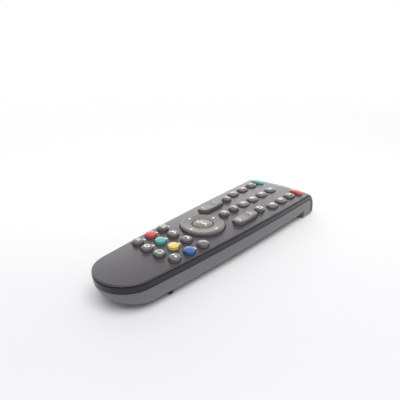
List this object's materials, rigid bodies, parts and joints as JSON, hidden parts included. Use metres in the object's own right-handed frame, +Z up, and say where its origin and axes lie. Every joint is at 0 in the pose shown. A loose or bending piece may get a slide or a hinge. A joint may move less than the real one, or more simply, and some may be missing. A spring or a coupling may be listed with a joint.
{
  "type": "remote control",
  "caption": "Slim tapering handheld remote control with a round near end, a navigation ring, number keys, coloured keys, rockers and a dark infrared window.",
  "frame": {"origin": "on the table under the middle of the body", "axes": "+Y from the rounded near end to the far end with the infrared window, +Z up out of the key face, +X to the right"},
  "size_m": [0.0506, 0.185, 0.0208],
  "materials": {
    "cover_plastic": "grey moulded plastic with a fine grain and a soft sheen",
    "band_plastic": "dark moulded plastic, polished",
    "window_plastic": "dark infrared-clear plastic, polished",
    "case_plastic": "grey moulded plastic with a fine grain",
    "door_plastic": "grey moulded plastic with a fine grain",
    "foot_rubber": "dark soft rubber",
    "screw_steel": "zinc-plated steel",
    "mat_rubber": "translucent grey silicone rubber",
    "board_laminate": "green lacquered laminate",
    "pad_carbon": "black carbon print",
    "chip_resin": "black moulded resin",
    "resonator_resin": "amber dipped resin",
    "capacitor_can": "shrink sleeve on an aluminium can",
    "transistor_resin": "black moulded resin",
    "resistor_ceramic": "glazed ceramic chip",
    "led_resin": "tinted clear resin",
    "cell_jacket": "printed metal jacket, bare",
    "contact_steel": "nickel-plated spring steel",
    "collar_plastic": "white moulded plastic",
    "ring_plastic": "warm grey moulded plastic, satin",
    "key_plastic": "warm light grey moulded plastic, satin",
    "red_key_plastic": "soft red moulded plastic, satin",
    "green_key_plastic": "soft green moulded plastic, satin",
    "yellow_key_plastic": "soft yellow moulded plastic, satin",
    "blue_key_plastic": "soft blue moulded plastic, satin",
    "guide_key_plastic": "sea green moulded plastic, satin",
    "power_key_plastic": "brick red moulded plastic, satin"
  },
  "bodies": {
    "remote_body": {"top_cover": "cover_plastic", "side_band": "band_plastic", "ir_window": "window_plastic", "bottom_case": "case_plastic", "near_feet": "foot_rubber", "case_screws": "screw_steel", "keypad_mat": "mat_rubber", "circuit_board": "board_laminate", "contact_pads": "pad_carbon", "controller_chip": "chip_resin", "resonator": "resonator_resin", "capacitor": "capacitor_can", "transistor": "transistor_resin", "resistors": "resistor_ceramic", "ir_led": "led_resin", "battery_left": "cell_jacket", "battery_right": "cell_jacket", "battery_link_contact": "contact_steel", "battery_spring_contact": "contact_steel", "battery_plus_contact": "contact_steel"},
    "battery_door": {"battery_door": "door_plastic"},
    "nav_collar": {"nav_collar": "collar_plastic"},
    "nav_ring": {"nav_ring": "ring_plastic"},
    "key_ok": {"key_ok": "key_plastic"},
    "rocker_left": {"rocker_left": "key_plastic"},
    "rocker_right": {"rocker_right": "key_plastic"},
    "key_0": {"key_0": "key_plastic"},
    "key_1": {"key_1": "key_plastic"},
    "key_2": {"key_2": "key_plastic"},
    "key_3": {"key_3": "key_plastic"},
    "key_4": {"key_4": "key_plastic"},
    "key_5": {"key_5": "key_plastic"},
    "key_6": {"key_6": "key_plastic"},
    "key_7": {"key_7": "key_plastic"},
    "key_8": {"key_8": "key_plastic"},
    "key_9": {"key_9": "key_plastic"},
    "key_source": {"key_source": "key_plastic"},
    "key_display": {"key_display": "key_plastic"},
    "key_menu": {"key_menu": "key_plastic"},
    "key_return": {"key_return": "key_plastic"},
    "key_picture": {"key_picture": "key_plastic"},
    "key_sound": {"key_sound": "key_plastic"},
    "key_swap": {"key_swap": "key_plastic"},
    "key_mute": {"key_mute": "key_plastic"},
    "key_red": {"key_red": "red_key_plastic"},
    "key_green": {"key_green": "green_key_plastic"},
    "key_yellow": {"key_yellow": "yellow_key_plastic"},
    "key_blue": {"key_blue": "blue_key_plastic"},
    "key_list": {"key_list": "key_plastic"},
    "key_record": {"key_record": "key_plastic"},
    "key_page": {"key_page": "key_plastic"},
    "key_zoom": {"key_zoom": "key_plastic"},
    "key_guide": {"key_guide": "guide_key_plastic"},
    "key_power": {"key_power": "power_key_plastic"}
  },
  "joints": [
    {"name": "key_0_press", "type": "slide", "parent": "remote_body", "child": "key_0", "axis": [0, 0, -1], "range_m": [0, 0.0006], "stiffness_N_per_m": 800},
    {"name": "key_1_press", "type": "slide", "parent": "remote_body", "child": "key_1", "axis": [0, 0, -1], "range_m": [0, 0.0006], "stiffness_N_per_m": 800},
    {"name": "key_2_press", "type": "slide", "parent": "remote_body", "child": "key_2", "axis": [0, 0, -1], "range_m": [0, 0.0006], "stiffness_N_per_m": 800},
    {"name": "key_3_press", "type": "slide", "parent": "remote_body", "child": "key_3", "axis": [0, 0, -1], "range_m": [0, 0.0006], "stiffness_N_per_m": 800},
    {"name": "key_4_press", "type": "slide", "parent": "remote_body", "child": "key_4", "axis": [0, 0, -1], "range_m": [0, 0.0006], "stiffness_N_per_m": 800},
    {"name": "key_5_press", "type": "slide", "parent": "remote_body", "child": "key_5", "axis": [0, 0, -1], "range_m": [0, 0.0006], "stiffness_N_per_m": 800},
    {"name": "key_6_press", "type": "slide", "parent": "remote_body", "child": "key_6", "axis": [0, 0, -1], "range_m": [0, 0.0006], "stiffness_N_per_m": 800},
    {"name": "key_7_press", "type": "slide", "parent": "remote_body", "child": "key_7", "axis": [0, 0, -1], "range_m": [0, 0.0006], "stiffness_N_per_m": 800},
    {"name": "key_8_press", "type": "slide", "parent": "remote_body", "child": "key_8", "axis": [0, 0, -1], "range_m": [0, 0.0006], "stiffness_N_per_m": 800},
    {"name": "key_9_press", "type": "slide", "parent": "remote_body", "child": "key_9", "axis": [0, 0, -1], "range_m": [0, 0.0006], "stiffness_N_per_m": 800},
    {"name": "key_source_press", "type": "slide", "parent": "remote_body", "child": "key_source", "axis": [0, 0, -1], "range_m": [0, 0.0006], "stiffness_N_per_m": 800},
    {"name": "key_display_press", "type": "slide", "parent": "remote_body", "child": "key_display", "axis": [0, 0, -1], "range_m": [0, 0.0006], "stiffness_N_per_m": 800},
    {"name": "key_menu_press", "type": "slide", "parent": "remote_body", "child": "key_menu", "axis": [0, 0, -1], "range_m": [0, 0.0006], "stiffness_N_per_m": 800},
    {"name": "key_return_press", "type": "slide", "parent": "remote_body", "child": "key_return", "axis": [0, 0, -1], "range_m": [0, 0.0006], "stiffness_N_per_m": 800},
    {"name": "key_picture_press", "type": "slide", "parent": "remote_body", "child": "key_picture", "axis": [0, 0, -1], "range_m": [0, 0.0006], "stiffness_N_per_m": 800},
    {"name": "key_sound_press", "type": "slide", "parent": "remote_body", "child": "key_sound", "axis": [0, 0, -1], "range_m": [0, 0.0006], "stiffness_N_per_m": 800},
    {"name": "key_swap_press", "type": "slide", "parent": "remote_body", "child": "key_swap", "axis": [0, 0, -1], "range_m": [0, 0.0006], "stiffness_N_per_m": 800},
    {"name": "key_mute_press", "type": "slide", "parent": "remote_body", "child": "key_mute", "axis": [0, 0, -1], "range_m": [0, 0.0006], "stiffness_N_per_m": 800},
    {"name": "key_red_press", "type": "slide", "parent": "remote_body", "child": "key_red", "axis": [0, 0, -1], "range_m": [0, 0.0006], "stiffness_N_per_m": 800},
    {"name": "key_green_press", "type": "slide", "parent": "remote_body", "child": "key_green", "axis": [0, 0, -1], "range_m": [0, 0.0006], "stiffness_N_per_m": 800},
    {"name": "key_yellow_press", "type": "slide", "parent": "remote_body", "child": "key_yellow", "axis": [0, 0, -1], "range_m": [0, 0.0006], "stiffness_N_per_m": 800},
    {"name": "key_blue_press", "type": "slide", "parent": "remote_body", "child": "key_blue", "axis": [0, 0, -1], "range_m": [0, 0.0006], "stiffness_N_per_m": 800},
    {"name": "key_list_press", "type": "slide", "parent": "remote_body", "child": "key_list", "axis": [0, 0, -1], "range_m": [0, 0.0006], "stiffness_N_per_m": 800},
    {"name": "key_record_press", "type": "slide", "parent": "remote_body", "child": "key_record", "axis": [0, 0, -1], "range_m": [0, 0.0006], "stiffness_N_per_m": 800},
    {"name": "key_page_press", "type": "slide", "parent": "remote_body", "child": "key_page", "axis": [0, 0, -1], "range_m": [0, 0.0006], "stiffness_N_per_m": 800},
    {"name": "key_zoom_press", "type": "slide", "parent": "remote_body", "child": "key_zoom", "axis": [0, 0, -1], "range_m": [0, 0.0006], "stiffness_N_per_m": 800},
    {"name": "key_guide_press", "type": "slide", "parent": "remote_body", "child": "key_guide", "axis": [0, 0, -1], "range_m": [0, 0.0006], "stiffness_N_per_m": 800},
    {"name": "key_power_press", "type": "slide", "parent": "remote_body", "child": "key_power", "axis": [0, 0, -1], "range_m": [0, 0.0006], "stiffness_N_per_m": 800},
    {"name": "key_ok_press", "type": "slide", "parent": "remote_body", "child": "key_ok", "axis": [0, 0, -1], "range_m": [0, 0.0006], "stiffness_N_per_m": 800},
    {"name": "rocker_left_tip", "type": "hinge", "parent": "remote_body", "child": "rocker_left", "pos_m": [-0.014, 0.0125, 0.0153], "axis": [1, 0, 0], "range_deg": [-2.5, 2.5], "stiffness_Nm_per_rad": 0.3},
    {"name": "rocker_right_tip", "type": "hinge", "parent": "remote_body", "child": "rocker_right", "pos_m": [0.014, 0.0125, 0.0153], "axis": [1, 0, 0], "range_deg": [-2.5, 2.5], "stiffness_Nm_per_rad": 0.3},
    {"name": "ring_tip_to_far_and_near", "type": "hinge", "parent": "remote_body", "child": "nav_collar", "pos_m": [0, -0.0133, 0.0158], "axis": [1, 0, 0], "range_deg": [-1.5, 1.5], "stiffness_Nm_per_rad": 0.4},
    {"name": "ring_tip_to_left_and_right", "type": "hinge", "parent": "nav_collar", "child": "nav_ring", "pos_m": [0, -0.0133, 0.0158], "axis": [0, 1, 0], "range_deg": [-1.5, 1.5], "stiffness_Nm_per_rad": 0.4},
    {"name": "battery_door_slide", "type": "slide", "parent": "remote_body", "child": "battery_door", "axis": [0, -1, 0], "range_m": [0, 0.05]}
  ]
}
